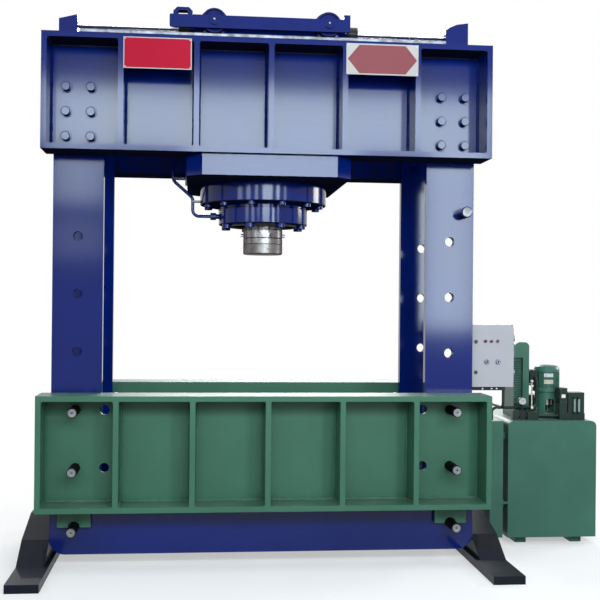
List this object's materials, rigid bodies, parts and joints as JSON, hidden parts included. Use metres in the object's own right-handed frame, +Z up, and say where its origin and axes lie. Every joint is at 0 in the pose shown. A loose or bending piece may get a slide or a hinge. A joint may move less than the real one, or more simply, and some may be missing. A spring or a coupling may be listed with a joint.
{
  "type": "hydraulic press",
  "caption": "Two-column workshop press: bolted head, bed on pull-out pins, ram on a rolling carriage, side power unit and control cabinet.",
  "frame": {"origin": "on the floor under the middle of the whole machine's bounding box", "axes": "+X to the viewer's right along the head, +Y from the front of the press to its back, +Z up"},
  "size_m": [3.474, 1.904, 3.148],
  "materials": {
    "navy_paint": "gloss navy enamel over brushed primer",
    "green_paint": "semi-matte green enamel",
    "grey_paint": "light grey powder coat",
    "dark_paint": "dark grey satin paint",
    "bare_steel": "turned and brushed steel with a film of oil",
    "ground_steel": "ground and plated, gloss",
    "black_oxide": "black-oxide bolts",
    "sign_red": "dull red enamel plate",
    "dial": "gauge case and dial",
    "needle_black": "black pointer",
    "button_plastic": "push buttons",
    "knob_plastic": "pale moulded knob"
  },
  "bodies": {
    "frame": {"column_left": "navy_paint", "column_right": "navy_paint", "head_girder_front": "navy_paint", "head_girder_rear": "navy_paint", "bed_girder_front": "green_paint", "bed_girder_rear": "green_paint", "head_bolts": "navy_paint", "head_spacers": "navy_paint", "lower_ties": "navy_paint", "foot_left": "navy_paint", "foot_right": "navy_paint", "bed_cross_plates": "green_paint", "sign_plates": "sign_red", "rails": "navy_paint", "traverse_posts": "navy_paint", "traverse_rod": "ground_steel", "tank": "green_paint", "side_duct": "green_paint", "cooler_housing": "green_paint", "bell_housing": "green_paint", "motor_housing": "green_paint", "terminal_box": "dark_paint", "valve_bank": "dark_paint", "tank_fittings": "dark_paint", "pressure_gauge": "dial", "cabinet_box": "grey_paint", "power_conduits": "bare_steel"},
    "carriage": {"traverse_barrel": "navy_paint", "wheel_axles": "bare_steel", "carriage_cheeks": "navy_paint", "carriage_frame": "navy_paint", "reaction_slab": "navy_paint", "cylinder_barrel": "navy_paint", "cylinder_cap": "navy_paint", "cylinder_gland": "navy_paint", "cylinder_bolts": "black_oxide", "return_pipe": "bare_steel"},
    "ram": {"ram": "ground_steel", "ram_nose": "bare_steel", "ram_screws": "bare_steel"},
    "rotor": {"motor_rotor": "bare_steel"},
    "lever": {"valve_lever": "bare_steel"},
    "needle": {"gauge_needle": "needle_black"},
    "filler_cap": {"filler_cap": "dark_paint"},
    "door": {"cabinet_door": "grey_paint"},
    "latch_upper": {"cabinet_latch_upper": "dark_paint"},
    "latch_lower": {"cabinet_latch_lower": "dark_paint"},
    "button_left": {"cabinet_button_left": "button_plastic"},
    "button_right": {"cabinet_button_right": "button_plastic"},
    "switch_knob": {"cabinet_knob": "knob_plastic"},
    "wheel_left_front": {"wheel_left_front": "bare_steel"},
    "wheel_left_rear": {"wheel_left_rear": "bare_steel"},
    "wheel_right_front": {"wheel_right_front": "bare_steel"},
    "wheel_right_rear": {"wheel_right_rear": "bare_steel"},
    "bed_pin_left_low": {"bed_pin_left_low": "bare_steel"},
    "bed_pin_left_middle": {"bed_pin_left_middle": "bare_steel"},
    "bed_pin_left_high": {"bed_pin_left_high": "bare_steel"},
    "bed_pin_right_low": {"bed_pin_right_low": "bare_steel"},
    "bed_pin_right_middle": {"bed_pin_right_middle": "bare_steel"},
    "bed_pin_right_high": {"bed_pin_right_high": "bare_steel"}
  },
  "joints": [
    {"name": "carriage_traverse", "type": "slide", "parent": "frame", "child": "carriage", "axis": [1, 0, 0], "range_m": [-0.38, 0.38]},
    {"name": "ram_stroke", "type": "slide", "parent": "carriage", "child": "ram", "axis": [0, 0, -1], "range_m": [0, 0.5]},
    {"name": "wheel_left_front_roll", "type": "hinge", "parent": "carriage", "child": "wheel_left_front", "pos_m": [-0.6895, -0.536, 3.068], "axis": [0, 1, 0], "range_deg": [-330, 330]},
    {"name": "wheel_left_rear_roll", "type": "hinge", "parent": "carriage", "child": "wheel_left_rear", "pos_m": [-0.6895, 0.536, 3.068], "axis": [0, 1, 0], "range_deg": [-330, 330]},
    {"name": "wheel_right_front_roll", "type": "hinge", "parent": "carriage", "child": "wheel_right_front", "pos_m": [-0.0445, -0.536, 3.068], "axis": [0, 1, 0], "range_deg": [-330, 330]},
    {"name": "wheel_right_rear_roll", "type": "hinge", "parent": "carriage", "child": "wheel_right_rear", "pos_m": [-0.0445, 0.536, 3.068], "axis": [0, 1, 0], "range_deg": [-330, 330]},
    {"name": "bed_pin_left_low_pull", "type": "slide", "parent": "frame", "child": "bed_pin_left_low", "axis": [0, -1, 0], "range_m": [0, 0.85]},
    {"name": "bed_pin_left_middle_pull", "type": "slide", "parent": "frame", "child": "bed_pin_left_middle", "axis": [0, -1, 0], "range_m": [0, 0.85]},
    {"name": "bed_pin_left_high_pull", "type": "slide", "parent": "frame", "child": "bed_pin_left_high", "axis": [0, -1, 0], "range_m": [0, 0.85]},
    {"name": "bed_pin_right_low_pull", "type": "slide", "parent": "frame", "child": "bed_pin_right_low", "axis": [0, -1, 0], "range_m": [0, 0.85]},
    {"name": "bed_pin_right_middle_pull", "type": "slide", "parent": "frame", "child": "bed_pin_right_middle", "axis": [0, -1, 0], "range_m": [0, 0.85]},
    {"name": "bed_pin_right_high_pull", "type": "slide", "parent": "frame", "child": "bed_pin_right_high", "axis": [0, -1, 0], "range_m": [0, 0.85]},
    {"name": "door_hinge", "type": "hinge", "parent": "frame", "child": "door", "pos_m": [1.115, -0.324, 1.192], "axis": [0, 0, 1], "range_deg": [0, 110]},
    {"name": "latch_upper_turn", "type": "hinge", "parent": "door", "child": "latch_upper", "pos_m": [0.878, -0.343, 1.276], "axis": [0, -1, 0], "range_deg": [0, 90]},
    {"name": "latch_lower_turn", "type": "hinge", "parent": "door", "child": "latch_lower", "pos_m": [0.878, -0.343, 1.094], "axis": [0, -1, 0], "range_deg": [0, 90]},
    {"name": "button_left_press", "type": "slide", "parent": "door", "child": "button_left", "axis": [0, 1, 0], "range_m": [0, 0.004], "stiffness_N_per_m": 400, "springref_m": -0.002},
    {"name": "button_right_press", "type": "slide", "parent": "door", "child": "button_right", "axis": [0, 1, 0], "range_m": [0, 0.004], "stiffness_N_per_m": 400, "springref_m": -0.002},
    {"name": "switch_knob_turn", "type": "hinge", "parent": "frame", "child": "switch_knob", "pos_m": [1.111, -0.273, 1.206], "axis": [1, 0, 0], "range_deg": [0, 90]},
    {"name": "motor_spin", "type": "hinge", "parent": "frame", "child": "rotor", "pos_m": [1.498, 0.197, 0.952], "axis": [0, 0, 1], "continuous": true},
    {"name": "lever_swing", "type": "hinge", "parent": "frame", "child": "lever", "pos_m": [1.35, 0.047, 0.843], "axis": [1, 0, 0], "range_deg": [-15, 15], "stiffness_Nm_per_rad": 3},
    {"name": "needle_swing", "type": "hinge", "parent": "frame", "child": "needle", "pos_m": [1.287, 0.04, 0.888], "axis": [0, 1, 0], "range_deg": [0, 270], "stiffness_Nm_per_rad": 0.002, "springref_deg": -11.46},
    {"name": "filler_cap_lift", "type": "slide", "parent": "frame", "child": "filler_cap", "axis": [0, 0, 1], "range_m": [0, 0.06]}
  ],
  "couplings": [
    {"joint": "wheel_left_front_roll", "follows": "carriage_traverse", "rad_per_m": 14.286},
    {"joint": "wheel_left_rear_roll", "follows": "carriage_traverse", "rad_per_m": 14.286},
    {"joint": "wheel_right_front_roll", "follows": "carriage_traverse", "rad_per_m": 14.286},
    {"joint": "wheel_right_rear_roll", "follows": "carriage_traverse", "rad_per_m": 14.286}
  ]
}
